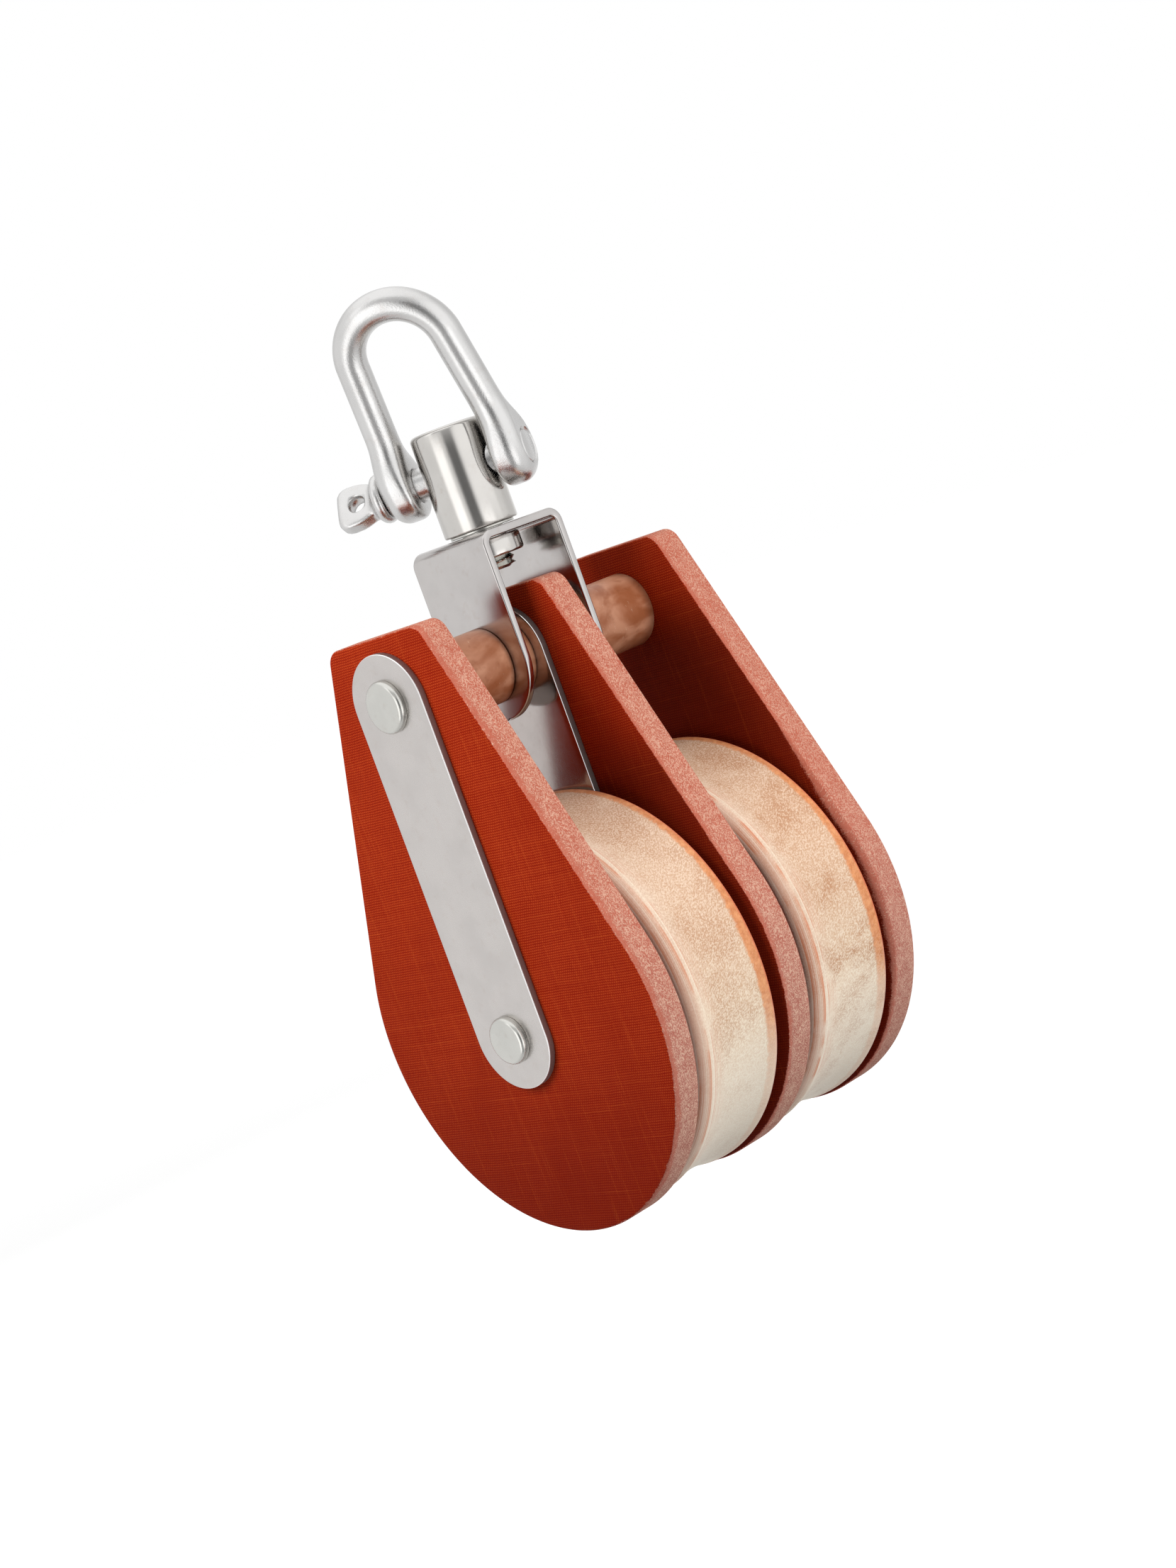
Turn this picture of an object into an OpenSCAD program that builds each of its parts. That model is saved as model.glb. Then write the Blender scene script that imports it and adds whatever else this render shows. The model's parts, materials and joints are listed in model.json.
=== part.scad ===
// Double swivel block: two wide sheaves between three cloth-laminate cheeks, hung on a
// steel yoke whose barrel swivels under a screw-pin shackle. Millimetres.
// The origin is where a load bears on the inside of the shackle's crown. +Z points up
// along the block, +X along the sheave axle.

/* [Shackle] */
// Diameter of the bent rod
rod_d = 6.2; // [5:0.1:6.2]
// Radius of the crown, measured to the middle of the rod
crown_r = 9.6; // [9:0.1:14]
// Height of the crown's centre above the shackle pin
crown_rise = 24.4; // [18:0.2:40]
// Clear jaw between the two eyes
jaw = 16.4; // [14.9:0.1:20]
// How far the bow has slid to the left along its pin, as a share of the room beside the barrel
bow_rest = 0.42; // [0:0.02:0.5]
// Outside diameter of each forged eye
eye_d = 12.4; // [10.6:0.1:16]
// Thickness of each eye along the pin
eye_t = 6.4; // [6.4:0.1:8]
// Outward set of each leg where its axis crosses the pin
leg_set = 0.25; // [0:0.05:0.3]
// Radius round the rim of each eye
eye_edge = 2.1; // [0.5:0.1:2.4]
// Lean of the bow away from the swivel axis, in degrees
bow_lean = 19; // [0:1:40]
// Turn of the bow about the swivel axis, in degrees
bow_turn = -59; // [-90:1:90]

/* [Shackle pin] */
// Diameter of the pin's shank
pin_d = 6.3; // [5:0.1:7]
// Diameter of the collar under the tab
pin_collar_d = 9.6; // [8:0.1:12]
// Thickness of the collar
pin_collar_t = 2.3; // [1.5:0.1:4]
// Reach of the flat tab beyond the collar
tab_reach = 8.6; // [7:0.1:14]
// Height of the tab
tab_h = 9; // [7.5:0.1:12]
// Thickness of the tab
tab_t = 3.2; // [2:0.1:4]
// Radius of the tab's outer corners
tab_corner = 2.2; // [1:0.1:3]
// Diameter of the lashing hole in the tab
tab_hole_d = 3.4; // [2.5:0.1:4]
// Angle at which the tab stopped when the pin was done up, in degrees
tab_turn = -35; // [-90:1:90]

/* [Swivel] */
// Diameter of the barrel
barrel_d = 14.3; // [12:0.1:14.5]
// Height of the barrel
barrel_h = 19.8; // [17:0.1:28]
// Height of the cross hole above the barrel's foot
cross_h = 11.4; // [10.5:0.1:14]
// Radius round the barrel's top rim
barrel_edge = 0.7; // [0.2:0.1:1.5]
// Diameter of the swivel stud
stud_d = 8; // [6:0.1:9]
// Depth of the stud inside the barrel
stud_depth = 7; // [5:0.1:7.4]
// Thickness of the round nut under the yoke
nut_t = 3.6; // [2.5:0.1:4]
// Diameter of the round nut
nut_d = 12.6; // [11:0.1:14]
// Length of stud showing below the nut
stud_tail = 2.4; // [1:0.1:2.8]
// Diameter of the thin washer under the barrel
washer_d = 12.4; // [10:0.1:14]
// Thickness of the thin washer
washer_t = 0.5; // [0.3:0.1:1]

/* [Yoke] */
// Outside width of the yoke across its two legs
yoke_w = 20.3; // [19.6:0.1:26]
// Width of the strip that the yoke is bent from
yoke_strip = 21.7; // [18:0.1:26]
// Thickness of the strip
yoke_t = 1.6; // [1.2:0.1:2]
// Height of the yoke's top face above the head pin
yoke_rise = 23.6; // [22.8:0.1:30]
// Outside radius of the two bends
yoke_bend = 2.8; // [2:0.1:4]

/* [Cheeks] */
// Distance from the sheave axle up to the head pin
pin_spacing = 64; // [60:1:80]
// Thickness of each cheek
cheek_t = 6; // [4:0.1:8]
// Clear gap between one cheek and the next
cheek_gap = 24.4; // [23.6:0.1:32]
// Radius of the round lower end
cheek_r = 38.8; // [38:0.1:46]
// Height of that radius's centre above the axle
cheek_lift = 0.4; // [0:0.1:2]
// Width across the flat top
cheek_top_w = 29; // [24:0.5:40]
// Height of the flat top above the head pin
cheek_top = 12.3; // [11:0.1:12.6]
// Radius of the two top corners
cheek_corner = 3.5; // [1:0.1:6]

/* [Straps] */
// Width of each steel strap
strap_w = 19.4; // [16:0.1:24]
// Thickness of each strap
strap_t = 1.5; // [1:0.1:1.8]

/* [Pins and spacers] */
// Diameter of the head pin's shank
head_pin_d = 8; // [6:0.1:9]
// Diameter of the head pin's two heads
head_pin_head_d = 9.9; // [9.6:0.1:13]
// Height of those heads
head_pin_head_t = 1.5; // [1:0.1:3]
// Diameter of the sheave axle
axle_d = 8; // [6:0.1:9]
// Diameter of the axle's two heads
axle_head_d = 9.1; // [9.1:0.1:13]
// Height of those heads
axle_head_t = 1.7; // [1:0.1:3]
// Radius round the rim of every head
head_edge = 0.5; // [0.1:0.1:0.8]
// Outside diameter of the spacers on the head pin
spacer_d = 14.5; // [11:0.1:18]

/* [Sheaves] */
// Diameter of each sheave
sheave_d = 75.5; // [60:0.5:75.8]
// Width of each sheave
sheave_w = 19.5; // [16:0.1:20]
// Width of the plain rim at each side of the groove
rim_w = 1; // [0.5:0.1:3]
// Depth of the wide, shallow groove
groove_depth = 1.2; // [0.5:0.1:3]
// Chamfer on the outer edge of each rim
rim_chamfer = 0.3; // [0.1:0.1:0.8]
// Outside diameter of the bush pressed into each sheave
bush_d = 12; // [11:0.1:16]
// Outside diameter of the thrust washers beside each sheave
thrust_d = 24; // [18:0.5:36]
// Thickness of the thrust washer on the centre side
thrust_in_t = 0.5; // [0.3:0.1:1]
// Thickness of the thrust washer on the outer side
thrust_out_t = 1.1; // [0.3:0.1:1.5]

/* [Clearances] */
// Radial play of a shaft that turns in its hole
run_play = 0.06; // [0.02:0.01:0.1]
// Radial play of a pin in a fixed hole
pin_play = 0.05; // [0.02:0.01:0.1]
// Gap between faces that turn past each other
face_play = 0.12; // [0.05:0.01:0.3]
// Gap between each sheave and the thrust washer that it has slid up to
sheave_rest = 0.2; // [0.1:0.05:0.3]

/* [Hidden] */
$fn = 72;
STEEL = [0.80, 0.79, 0.78];
BRIGHT = [0.86, 0.85, 0.84];
CHEEK = [0.58, 0.13, 0.05];
SHEAVE = [0.88, 0.79, 0.68];
SPACER = [0.62, 0.42, 0.30];
BRONZE = [0.72, 0.53, 0.30];

// Heights, measured up and down from the shackle pin
barrel_foot = -cross_h;
yoke_top = barrel_foot - washer_t - face_play;
yoke_under = yoke_top - yoke_t;
head_pin_z = yoke_top - yoke_rise;
axle_z = head_pin_z - pin_spacing;
nut_top = yoke_under - face_play;
nut_foot = nut_top - nut_t;
stud_foot = nut_foot - stud_tail;
stud_head = barrel_foot + stud_depth;

// Places along the axle, measured out from the middle of the centre cheek
centre_face = cheek_t / 2;
strap_face = centre_face + strap_t;
yoke_out = yoke_w / 2;
yoke_in = yoke_out - yoke_t;
outer_cheek_in = centre_face + cheek_gap;
outer_cheek_out = outer_cheek_in + cheek_t;
block_out = outer_cheek_out + strap_t;

// Both sheaves have slid to the right on the axle: the left one up to its inner thrust washer,
// the right one up to its outer one
left_sheave_in = strap_face + thrust_in_t + sheave_rest;
right_sheave_in = outer_cheek_in - thrust_out_t - sheave_rest - sheave_w;

// The bow: two legs that splay from the crown to the eyes. They are a hair thicker than the crown
// and reach a little way back into it, so that the three become one solid.
leg_x = (jaw + eye_t) / 2 + leg_set;
splay = acos(crown_r / norm([leg_x, crown_rise])) - atan2(crown_rise, leg_x);
leg_len = crown_rise * cos(splay) + leg_x * sin(splay) - eye_d / 3;
leg_d = rod_d + 0.1;
leg_lap = 0.5;
bow_inside = crown_rise + crown_r - rod_d / 2;
bow_slide = bow_rest * (jaw - barrel_d) / 2;

// The sheave groove is an arc through both rims and the groove's floor
groove_half = sheave_w / 2 - rim_w;
groove_r = (groove_half * groove_half + groove_depth * groove_depth) / (2 * groove_depth);

// The straight flanks of a cheek touch its round end and its top corners
corner_y = cheek_top_w / 2 - cheek_corner;
corner_z = pin_spacing + cheek_top - cheek_corner;
corner_line = norm([corner_y, corner_z - cheek_lift]);
flank = atan2(corner_z - cheek_lift, corner_y) - acos((cheek_r - cheek_corner) / corner_line);

// The middle of the jaw, on the shackle pin's axis
module from_jaw() {
    rotate([0, 0, bow_turn]) rotate([bow_lean, 0, 0]) translate([0, 0, -bow_inside])
        rotate([-bow_lean, 0, 0]) rotate([0, 0, -bow_turn]) children();
}

// The middle of the barrel's cross hole, from which everything below the bow is placed
module from_shackle_pin() {
    from_jaw() rotate([0, 0, bow_turn]) translate([bow_slide, 0, 0]) rotate([0, 0, -bow_turn]) children();
}

// Local X runs along the shackle pin, local Z up the bow
module bow_frame() {
    from_jaw() rotate([0, 0, bow_turn]) rotate([bow_lean, 0, 0]) children();
}

// The pin's own frame: local X along it, not leaning with the bow
module pin_frame() {
    from_jaw() rotate([0, 0, bow_turn]) rotate([tab_turn, 0, 0]) children();
}

// Half of a section through a disc with a rounded rim, for turning about its axis
module disc_section(r, t, edge) {
    square([r - edge, t]);
    translate([0, edge]) square([r, t - 2 * edge]);
    for (z = [edge, t - edge]) translate([r - edge, z]) circle(edge);
}

// A solid along X, its near end at x0
module along_x(x0) {
    translate([x0, 0, 0]) rotate([0, 90, 0]) children();
}

// A round bar or hole along X
module bar_x(x0, x1, d) {
    along_x(x0) cylinder(h = x1 - x0, d = d);
}

// A ring along X with a hole through it
module ring_x(x0, x1, d, hole) {
    difference() {
        bar_x(x0, x1, d);
        bar_x(x0 - 1, x1 + 1, hole);
    }
}

// An outline drawn in Y and Z, made into a plate from x0
module plate_x(x0, t) {
    translate([x0, 0, 0]) rotate([90, 0, 90]) linear_extrude(t) children();
}

module at_axle() {
    from_shackle_pin() translate([0, 0, axle_z]) children();
}

module at_head_pin() {
    from_shackle_pin() translate([0, 0, head_pin_z]) children();
}

// The same piece on both sides of the centre cheek
module side(s) {
    if (s > 0) children();
    else mirror([1, 0, 0]) children();
}

// Forged eye of the bow, its inner face towards the barrel
module bow_eye() {
    along_x(jaw / 2) rotate_extrude() disc_section(eye_d / 2, eye_t, eye_edge);
}

module bow_leg() {
    translate([crown_r * cos(splay), 0, crown_rise + crown_r * sin(splay)])
        rotate([0, 180 - splay, 0]) translate([0, 0, -leg_lap]) cylinder(h = leg_len + leg_lap, d = leg_d);
}

module shackle_bow() {
    $fn = 40;
    color(BRIGHT) bow_frame() difference() {
        union() {
            translate([0, 0, crown_rise]) rotate([90, 0, 0]) rotate([0, 0, splay])
                rotate_extrude(angle = 180 - 2 * splay) translate([crown_r, 0]) circle(d = rod_d);
            for (s = [-1, 1]) side(s) {
                bow_leg();
                bow_eye();
            }
        }
        bar_x(-leg_x - eye_t, leg_x + eye_t, pin_d + 2 * pin_play);
    }
}

// Flat tab with rounded outer corners, drawn in local X and Z
module tab_outline() {
    tip = -tab_reach;
    difference() {
        union() {
            translate([tip + tab_corner, -tab_h / 2]) square([tab_reach - tab_corner, tab_h]);
            translate([tip, -tab_h / 2 + tab_corner]) square([tab_reach, tab_h - 2 * tab_corner]);
            for (s = [-1, 1]) translate([tip + tab_corner, s * (tab_h / 2 - tab_corner)]) circle(tab_corner);
        }
        translate([tip + tab_reach / 2, 0]) circle(d = tab_hole_d);
    }
}

module shackle_pin() {
    outer = jaw / 2 + eye_t;
    color(BRIGHT) pin_frame() {
        bar_x(-outer - face_play - pin_collar_t / 2, outer, pin_d);
        along_x(-outer - face_play - pin_collar_t) rotate_extrude()
            disc_section(pin_collar_d / 2, pin_collar_t, head_edge);
        translate([-outer - face_play - pin_collar_t + head_edge, tab_t / 2, 0])
            rotate([90, 0, 0]) linear_extrude(tab_t) tab_outline();
    }
}

module swivel_barrel() {
    color(BRIGHT) from_shackle_pin() difference() {
        translate([0, 0, barrel_foot]) rotate_extrude() disc_section(barrel_d / 2, barrel_h, barrel_edge);
        rotate([0, 0, bow_turn]) bar_x(-barrel_d, barrel_d, pin_d + 2 * run_play);
        translate([0, 0, barrel_foot - 1]) cylinder(h = stud_depth + 1, d = stud_d);
    }
}

module swivel_stud() {
    tail_chamfer = 0.6;
    color(STEEL) from_shackle_pin() {
        translate([0, 0, stud_foot + tail_chamfer]) cylinder(h = stud_head - stud_foot - tail_chamfer, d = stud_d);
        translate([0, 0, stud_foot]) cylinder(h = tail_chamfer, d1 = stud_d - 2 * tail_chamfer, d2 = stud_d);
    }
}

module swivel_nut() {
    color(BRIGHT) from_shackle_pin() difference() {
        translate([0, 0, nut_foot]) rotate_extrude() disc_section(nut_d / 2, nut_t, head_edge);
        translate([0, 0, nut_foot - 1]) cylinder(h = nut_t + 2, d = stud_d);
    }
}

module swivel_washer() {
    color(STEEL) from_shackle_pin() translate([0, 0, barrel_foot - washer_t]) difference() {
        cylinder(h = washer_t, d = washer_d);
        translate([0, 0, -1]) cylinder(h = washer_t + 2, d = stud_d);
    }
}

// Section of a channel open below, in X and Z from the head pin
module channel(half_w, top, bend) {
    translate([-half_w, -yoke_strip]) square([2 * half_w, yoke_strip + top - bend]);
    translate([-half_w + bend, top - bend]) square([2 * (half_w - bend), bend]);
    for (s = [-1, 1]) translate([s * (half_w - bend), top - bend]) circle(bend);
}

module yoke() {
    leg_r = yoke_strip / 2;
    color(STEEL) at_head_pin() difference() {
        intersection() {
            translate([0, leg_r, 0]) rotate([90, 0, 0]) linear_extrude(yoke_strip) difference() {
                channel(yoke_out, yoke_rise, yoke_bend);
                channel(yoke_in, yoke_rise - yoke_t, yoke_bend - yoke_t);
            }
            plate_x(-yoke_w, 2 * yoke_w) {
                circle(leg_r);
                translate([-leg_r, 0]) square([yoke_strip, yoke_rise + 1]);
            }
        }
        bar_x(-yoke_w, yoke_w, head_pin_d + 2 * run_play);
        cylinder(h = yoke_rise + 1, d = stud_d + 2 * run_play);
    }
}

// Outline of a cheek in Y and Z from the axle
module cheek_outline() {
    low = [cheek_r * cos(flank), cheek_lift + cheek_r * sin(flank)];
    high = [corner_y + cheek_corner * cos(flank), corner_z + cheek_corner * sin(flank)];
    top = corner_z + cheek_corner;
    translate([0, cheek_lift]) circle(cheek_r, $fn = 144);
    for (s = [-1, 1]) translate([s * corner_y, corner_z]) circle(cheek_corner);
    polygon([[-low.x, low.y], [0, cheek_lift], low, high, [corner_y, corner_z], [corner_y, top],
        [-corner_y, top], [-corner_y, corner_z], [-high.x, high.y]]);
}

module pin_holes(head_hole, axle_hole) {
    circle(d = axle_hole);
    translate([0, pin_spacing]) circle(d = head_hole);
}

module cheek(x0) {
    color(CHEEK) at_axle() plate_x(x0, cheek_t) difference() {
        cheek_outline();
        pin_holes(head_pin_d + 2 * pin_play, axle_d + 2 * pin_play);
    }
}

module left_cheek() {
    cheek(-outer_cheek_out);
}

module centre_cheek() {
    cheek(-centre_face);
}

module right_cheek() {
    cheek(outer_cheek_in);
}

// Steel strap with round ends, from one pin to the other
module strap(x0) {
    color(STEEL) at_axle() plate_x(x0, strap_t) difference() {
        union() {
            for (z = [0, pin_spacing]) translate([0, z]) circle(d = strap_w);
            translate([-strap_w / 2, 0]) square([strap_w, pin_spacing]);
        }
        pin_holes(head_pin_d + 2 * pin_play, axle_d + 2 * pin_play);
    }
}

module left_strap() {
    strap(-block_out);
}

module right_strap() {
    strap(outer_cheek_out);
}

module centre_left_strap() {
    strap(-strap_face);
}

module centre_right_strap() {
    strap(centre_face);
}

// A cross pin with a low head on the outer face of each outer strap
module cross_pin(d, head_d, head_t) {
    bar_x(-block_out - head_t / 2, block_out + head_t / 2, d);
    for (s = [-1, 1]) side(s) along_x(block_out) rotate_extrude() disc_section(head_d / 2, head_t, head_edge);
}

module head_pin() {
    color(BRIGHT) at_head_pin() cross_pin(head_pin_d, head_pin_head_d, head_pin_head_t);
}

module axle() {
    color(BRIGHT) at_axle() cross_pin(axle_d, axle_head_d, axle_head_t);
}

module outer_spacer(s) {
    color(SPACER) at_head_pin() side(s)
        ring_x(yoke_out + face_play, outer_cheek_in, spacer_d, head_pin_d + 2 * pin_play);
}

module inner_spacer(s) {
    color(SPACER) at_head_pin() side(s)
        ring_x(strap_face, yoke_in - face_play, spacer_d, head_pin_d + 2 * pin_play);
}

module outer_washer(s) {
    color(SPACER) at_axle() side(s)
        ring_x(outer_cheek_in - thrust_out_t, outer_cheek_in, thrust_d, axle_d + 2 * pin_play);
}

module inner_washer(s) {
    color(SPACER) at_axle() side(s)
        ring_x(strap_face, strap_face + thrust_in_t, thrust_d, axle_d + 2 * pin_play);
}

// Section of a sheave, radius along X and width along Y
module sheave_section() {
    r = sheave_d / 2;
    difference() {
        square([r, sheave_w]);
        square([bush_d / 2, sheave_w]);
        translate([r + groove_r - groove_depth, sheave_w / 2]) circle(groove_r, $fn = 360);
        for (y = [0, sheave_w]) translate([r, y]) rotate(45)
            square(rim_chamfer * sqrt(2), center = true);
    }
}

function sheave_in(s) = s < 0 ? left_sheave_in : right_sheave_in;

module sheave(s) {
    color(SHEAVE) at_axle() side(s) along_x(sheave_in(s)) rotate_extrude($fn = 180) sheave_section();
}

module bush(s) {
    color(BRONZE) at_axle() side(s)
        ring_x(sheave_in(s), sheave_in(s) + sheave_w, bush_d, axle_d + 2 * run_play);
}

shackle_bow();
shackle_pin();
swivel_barrel();
swivel_stud();
swivel_nut();
swivel_washer();
yoke();
head_pin();
axle();
left_cheek();
centre_cheek();
right_cheek();
left_strap();
right_strap();
centre_left_strap();
centre_right_strap();
outer_spacer(-1);  // left_spacer
outer_spacer(1);  // right_spacer
inner_spacer(-1);  // left_inner_spacer
inner_spacer(1);  // right_inner_spacer
outer_washer(-1);  // left_outer_washer
inner_washer(-1);  // left_inner_washer
inner_washer(1);  // right_inner_washer
outer_washer(1);  // right_outer_washer
sheave(-1);  // left_sheave
bush(-1);  // left_bush
sheave(1);  // right_sheave
bush(1);  // right_bush
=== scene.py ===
# %% [markdown]
# # A double swivel block
# Two wide sheaves turn between three cheeks of cloth laminate. A steel yoke carries the cheeks and
# turns on a stud, whose barrel hangs in a shackle. The solids come from the CAD model, which fixes every
# size and place. This script dresses them: it takes each place from the model and builds finer pieces
# there, with worn edges, woven faces and soft metal reflections that a plain solid lacks.

# %% load the frame
import json
import math
import bpy
import numpy as np
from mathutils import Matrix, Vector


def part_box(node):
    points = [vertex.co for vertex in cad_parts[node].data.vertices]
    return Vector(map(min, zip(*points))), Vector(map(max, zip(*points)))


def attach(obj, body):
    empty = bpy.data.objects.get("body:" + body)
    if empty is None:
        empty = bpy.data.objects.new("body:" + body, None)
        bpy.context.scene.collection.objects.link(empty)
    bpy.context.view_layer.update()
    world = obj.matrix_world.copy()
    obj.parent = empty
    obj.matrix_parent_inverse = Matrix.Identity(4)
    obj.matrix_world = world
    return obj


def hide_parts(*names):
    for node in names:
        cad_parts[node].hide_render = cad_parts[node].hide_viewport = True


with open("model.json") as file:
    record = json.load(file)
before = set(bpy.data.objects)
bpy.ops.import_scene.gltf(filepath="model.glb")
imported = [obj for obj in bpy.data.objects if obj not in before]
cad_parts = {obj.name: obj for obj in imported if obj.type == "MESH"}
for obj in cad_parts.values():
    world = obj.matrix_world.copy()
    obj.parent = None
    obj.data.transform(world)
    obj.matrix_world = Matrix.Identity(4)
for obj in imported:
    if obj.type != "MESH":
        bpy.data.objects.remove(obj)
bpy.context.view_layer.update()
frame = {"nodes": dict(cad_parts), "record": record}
joints = {j["name"]: j for j in frame["record"]["behaviour"]["joints"]}
MM = 0.001
SHACKLE_PIN = np.array(joints["shackle_swing"]["pos_m"]) / MM
ACROSS = np.array(joints["shackle_swing"]["axis"])
HEAD_PIN = np.array(joints["block_swing"]["pos_m"]) / MM
AXLE = np.array(joints["left_sheave_spin"]["pos_m"]) / MM
print("shackle pin, head pin and axle, mm:", SHACKLE_PIN.round(2), HEAD_PIN.round(2), AXLE.round(2))


def reach(node):
    """Where a node starts and ends along the axle, in mm from the middle of the centre cheek."""
    return [corner[0] / MM - AXLE[0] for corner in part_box(node)]


print("the sheaves reach", reach("left_sheave"), reach("right_sheave"))

# %% [markdown]
# ## The camera
# The photograph was taken with the block lying back on its cheeks, so the picture leans about 20 degrees.
# The numbers below were solved from seventy corners and pin centres: they put the lens where those points
# fall in their places. A camera in Blender looks along its own -Z, so its three axes go in as columns.

# %% camera
from mathutils import Matrix, Vector

lens = bpy.data.cameras.new("photo_camera")
lens.lens = 62.604
camera = bpy.data.objects.new("photo_camera", lens)
right = (0.691817, -0.6366639, -0.3406585)
up = (0.3190928, -0.1536523, 0.9351849)
back = (-0.6477415, -0.7556785, 0.0968555)
place = (AXLE + (-329.541, -387.929, 86.087)) * MM
camera.matrix_world = Matrix([[right[i], up[i], back[i], place[i]] for i in range(3)] + [[0, 0, 0, 1]])
bpy.context.scene.collection.objects.link(camera)
bpy.context.scene.camera = camera
bpy.context.scene.view_settings.view_transform = "Standard"
print("lens", lens.lens, "mm, at", place.round(4), "m")

# %% [markdown]
# ## Writing shaders as sums
# A material in Blender is a graph of nodes. Drawing the graph by hand hides the idea, so the class below
# wraps one output socket and lets Python's own signs add the Math nodes: `1 - mask * 0.5` makes two of
# them. Anything that isn't arithmetic goes through `add`, which sets a node's options first and then its
# sockets.

# %% shader values


def add(tree, kind, options=None, values=None, out=0):
    """Adds one node, sets its options, then its sockets, and wraps the output that is asked for."""
    node = tree.nodes.new("ShaderNode" + kind)
    for key, setting in (options or {}).items():
        setattr(node, key, setting)
    for key, value in (values or {}).items():
        if isinstance(value, Value):
            tree.links.new(value.socket, node.inputs[key])
        else:
            node.inputs[key].default_value = value
    return Value(node.outputs[out])


class Value:
    """One number on the surface. Arithmetic on it adds Math nodes to its tree."""

    def __init__(self, socket):
        self.socket = socket
        self.tree = socket.id_data

    def math(self, operation, *others):
        values = {0: self, **{i + 1: other for i, other in enumerate(others)}}
        return add(self.tree, "Math", {"operation": operation}, values)

    def __add__(self, other):
        return self.math("ADD", other)

    def __sub__(self, other):
        return self.math("SUBTRACT", other)

    def __mul__(self, other):
        return self.math("MULTIPLY", other)

    def __rsub__(self, other):
        return add(self.tree, "Math", {"operation": "SUBTRACT"}, {0: other, 1: self})

    __radd__ = __add__
    __rmul__ = __mul__

    def step(self, low, high, to_low=0.0, to_high=1.0):
        """Runs smoothly from to_low at low to to_high at high, and stays there outside."""
        return add(self.tree, "MapRange", {"interpolation_type": "SMOOTHSTEP"},
                   {"Value": self, "From Min": low, "From Max": high, "To Min": to_low, "To Max": to_high})

    def wave(self, period):
        """A cosine of that period, from 0 to 1."""
        return (self * (2 * math.pi / period)).math("COSINE") * 0.5 + 0.5


def srgb(r, g, b):
    """A colour as a paint program shows it, 0 to 255, in the linear light that shaders use."""
    c = np.array([r, g, b]) / 255
    linear = np.where(c <= 0.04045, c / 12.92, ((c + 0.055) / 1.055) ** 2.4)
    return (*[float(v) for v in linear], 1.0)


# %% the base of a finish


class Finish:
    """A material being written: positions in millimetres, noises on them, and one Principled shader."""

    def __init__(self, name):
        self.material = bpy.data.materials.new(name)
        self.material.use_nodes = True
        self.tree = self.material.node_tree
        self.tree.nodes.clear()
        self.coordinates = self.tree.nodes.new("ShaderNodeTexCoord")
        self.place = self.moved()

    def moved(self, origin=(0, 0, 0), stretch=(1, 1, 1)):
        """The position in millimetres, measured from origin and then stretched."""
        local = add(self.tree, "VectorMath", {"operation": "MULTIPLY_ADD"},
                    {0: Value(self.coordinates.outputs["Object"]), 1: (1000, 1000, 1000),
                     2: tuple(-float(v) for v in origin)})
        if tuple(stretch) == (1, 1, 1):
            return local
        return add(self.tree, "Mapping", {"vector_type": "POINT"}, {"Vector": local, "Scale": stretch})

    def noise(self, size, detail=2.0, roughness=0.5, on=None, distortion=0.0):
        """Cloudy noise about 0.5, with lumps of that size in millimetres."""
        return add(self.tree, "TexNoise", {}, {"Vector": on or self.place, "Scale": 1 / size, "Detail": detail,
                                               "Roughness": roughness, "Distortion": distortion})

    def parts(self, vector):
        """The three numbers of a vector."""
        return [add(self.tree, "SeparateXYZ", {}, {0: vector}, out=i) for i in range(3)]

    def vector(self, x, y, z):
        """A vector from three numbers."""
        return add(self.tree, "CombineXYZ", {}, {0: x, 1: y, 2: z})

    def surface(self):
        """The two numbers of the piece's own UV, in millimetres, with a third that is always 0."""
        uv = Value(self.coordinates.outputs["UV"])
        return self.parts(add(self.tree, "VectorMath", {"operation": "SCALE"}, {0: uv, "Scale": 100.0}))

    def mix(self, mask, first, second):
        """The first colour where mask is 0, the second where it is 1."""
        return add(self.tree, "Mix", {"data_type": "RGBA"}, {0: mask, 6: first, 7: second}, out=2)

    def times(self, colour, shade):
        """A colour made darker or lighter by a number."""
        return add(self.tree, "VectorMath", {"operation": "SCALE"}, {0: colour, "Scale": shade})

    def bump(self, height, depth):
        """Relief: height from 0 to 1 stands for that depth in millimetres."""
        return add(self.tree, "Bump", {}, {"Height": height, "Distance": depth * MM, "Strength": 1.0})

    def done(self, **sockets):
        """Sets the Principled shader's sockets; an underscore in a name stands for a space."""
        shader = add(self.tree, "BsdfPrincipled", {}, {k.replace("_", " "): v for k, v in sockets.items()})
        output = self.tree.nodes.new("ShaderNodeOutputMaterial")
        self.tree.links.new(shader.socket, output.inputs[0])
        print(f"{self.material.name}: {len(self.tree.nodes)} shader nodes")
        return self.material


print("shader helpers ready")

# %% [markdown]
# ## The studio
# Polished steel is only as good as what it mirrors. The room here is pale all round, with the dark of the
# studio behind the camera: that dark is what draws the grey streak down the barrel and the bow. The
# camera itself sees plain white. Four soft lamps light the matt pieces, and no mirror shows them. The
# floor lies well under the block and keeps its soft shadow.

# %% world
world = bpy.data.worlds.new("studio")
bpy.context.scene.world = world
world.use_nodes = True
sky = world.node_tree
sky.nodes.clear()
toward = add(sky, "TexCoord", {}, {}, out=0)


def along(direction):
    """How far the looked-at direction agrees with this one: 1 along it, -1 against it."""
    return add(sky, "VectorMath", {"operation": "DOT_PRODUCT"}, {0: toward, 1: direction}, out=1)


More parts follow.
